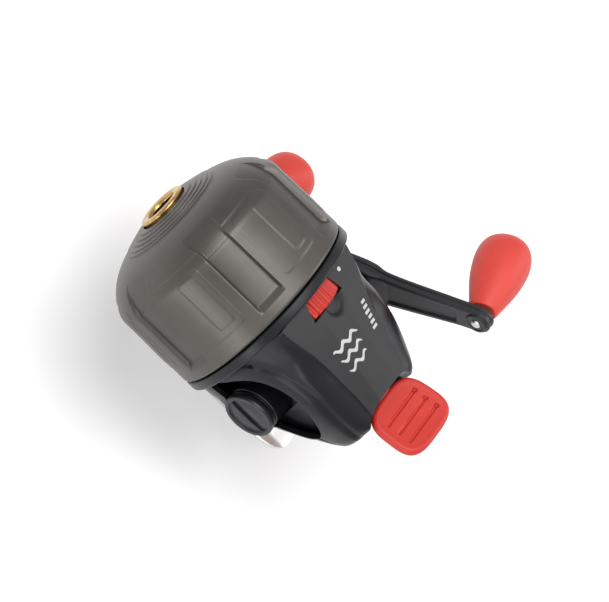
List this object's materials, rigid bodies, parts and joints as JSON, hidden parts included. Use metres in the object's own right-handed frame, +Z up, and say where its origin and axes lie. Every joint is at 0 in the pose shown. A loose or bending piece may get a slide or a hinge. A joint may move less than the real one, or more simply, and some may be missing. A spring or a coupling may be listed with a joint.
{
  "type": "spincast fishing reel",
  "caption": "Closed-face spincast fishing reel with a ribbed metal nose cover, thumb release button, thumbwheel drag, double-knob crank and a foot for a rod seat.",
  "frame": {"origin": "centre of the underside of the foot, on its flat land", "axes": "+X forward out of the nose along the rod, +Y to the angler's left, +Z up from the foot through the spool axis"},
  "size_m": [0.1149, 0.1081, 0.0857],
  "materials": {
    "cover_metal": "satin gunmetal, lightly metallic",
    "body_plastic": "fine moulded texture",
    "red_plastic": "satin moulded",
    "grip_red": "soft touch",
    "handle_black": "satin black coat",
    "brass": "turned",
    "steel": "brushed",
    "alloy": "machined",
    "rubber": "matt",
    "felt": "felt",
    "line": "clear monofilament, wound"
  },
  "bodies": {
    "frame": {"body_frame": "body_plastic", "rear_cover": "body_plastic", "reel_foot": "steel", "foot_screw_rear": "steel", "foot_screw_front": "steel", "main_bushing": "brass", "front_bushing": "brass", "shaft_bracket": "steel", "crank_bushing_left": "body_plastic", "crank_bushing_right": "body_plastic", "cover_seal": "rubber", "cover_screw_left": "steel", "cover_screw_right": "steel", "cover_screw_bottom": "steel", "button_pivot_pin": "steel", "pawl_pivot_pin": "steel", "spool_retainer": "steel", "dial_axle": "steel", "dial_clip": "steel", "click_spring": "steel", "pawl_spring": "steel"},
    "nose_cover": {"front_cover": "cover_metal", "line_guide_ring": "brass", "guide_retainer": "steel"},
    "crank": {"crank_sleeve": "steel", "drive_gear": "brass", "ratchet_wheel": "steel", "gear_clip": "steel", "handle_shaft": "handle_black", "handle_arm": "handle_black", "handle_rivet": "steel", "side_cap": "handle_black", "knob_spindle_a": "steel", "knob_spindle_b": "steel"},
    "grip_a": {"knob_a": "grip_red"},
    "grip_b": {"knob_b": "grip_red"},
    "pinion": {"pinion_gear": "brass"},
    "shaft_carrier": {"thrust_collar": "steel", "shaft_return_spring": "steel"},
    "rotor": {"center_shaft": "steel", "spinner_head": "alloy", "head_nut": "brass", "brake_ring": "rubber"},
    "pin": {"pickup_pin": "steel"},
    "spool": {"spool": "alloy", "line_pack": "line"},
    "dial": {"drag_dial": "red_plastic"},
    "drag_press": {"drag_pusher": "brass", "drag_plate": "steel", "drag_felt": "felt"},
    "pawl": {"pawl": "steel"},
    "button": {"thumb_button": "red_plastic"}
  },
  "joints": [
    {"name": "cover_twist", "type": "hinge", "parent": "frame", "child": "nose_cover", "pos_m": [0.03, 0, 0.05], "axis": [1, 0, 0], "range_deg": [0, 45]},
    {"name": "crank_spin", "type": "hinge", "parent": "frame", "child": "crank", "pos_m": [-0.0065, 0, 0.039], "axis": [0, 1, 0], "continuous": true},
    {"name": "knob_a_spin", "type": "hinge", "parent": "crank", "child": "grip_a", "pos_m": [-0.04097, -0.04, 0.07021], "axis": [-0.1604, 0.9763, 0.1453], "continuous": true},
    {"name": "knob_b_spin", "type": "hinge", "parent": "crank", "child": "grip_b", "pos_m": [0.02797, -0.04, 0.00779], "axis": [0.1604, 0.9763, -0.1453], "continuous": true},
    {"name": "pinion_spin", "type": "hinge", "parent": "frame", "child": "pinion", "pos_m": [0.005, 0, 0.05], "axis": [1, 0, 0], "continuous": true},
    {"name": "button_press", "type": "hinge", "parent": "frame", "child": "button", "pos_m": [-0.026, 0, 0.059], "axis": [0, -1, 0], "range_deg": [0, 15]},
    {"name": "shaft_slide", "type": "slide", "parent": "frame", "child": "shaft_carrier", "axis": [1, 0, 0], "range_m": [0, 0.00235]},
    {"name": "rotor_spin", "type": "hinge", "parent": "shaft_carrier", "child": "rotor", "pos_m": [0.04, 0, 0.05], "axis": [1, 0, 0], "continuous": true},
    {"name": "pin_slide", "type": "slide", "parent": "rotor", "child": "pin", "axis": [0, 0, -1], "range_m": [0, 0.0025]},
    {"name": "spool_slip", "type": "hinge", "parent": "frame", "child": "spool", "pos_m": [0.027, 0, 0.05], "axis": [1, 0, 0], "continuous": true},
    {"name": "dial_turn", "type": "hinge", "parent": "frame", "child": "dial", "pos_m": [0.007, 0, 0.0672], "axis": [1, 0, 0], "range_deg": [-150, 150]},
    {"name": "drag_push", "type": "slide", "parent": "frame", "child": "drag_press", "axis": [1, 0, 0], "range_m": [-0.00026, 0.00026]},
    {"name": "pawl_drop", "type": "hinge", "parent": "frame", "child": "pawl", "pos_m": [0.0048, 0.005, 0.0374], "axis": [0, 1, 0], "range_deg": [0, 11]}
  ],
  "couplings": [
    {"joint": "pinion_spin", "follows": "crank_spin", "ratio": 3.5},
    {"joint": "rotor_spin", "follows": "crank_spin", "ratio": 3.5},
    {"joint": "button_press", "follows": "shaft_slide", "rad_per_m": 111},
    {"joint": "pin_slide", "follows": "shaft_slide", "ratio": 1.05},
    {"joint": "dial_turn", "follows": "drag_push", "rad_per_m": 10000}
  ]
}
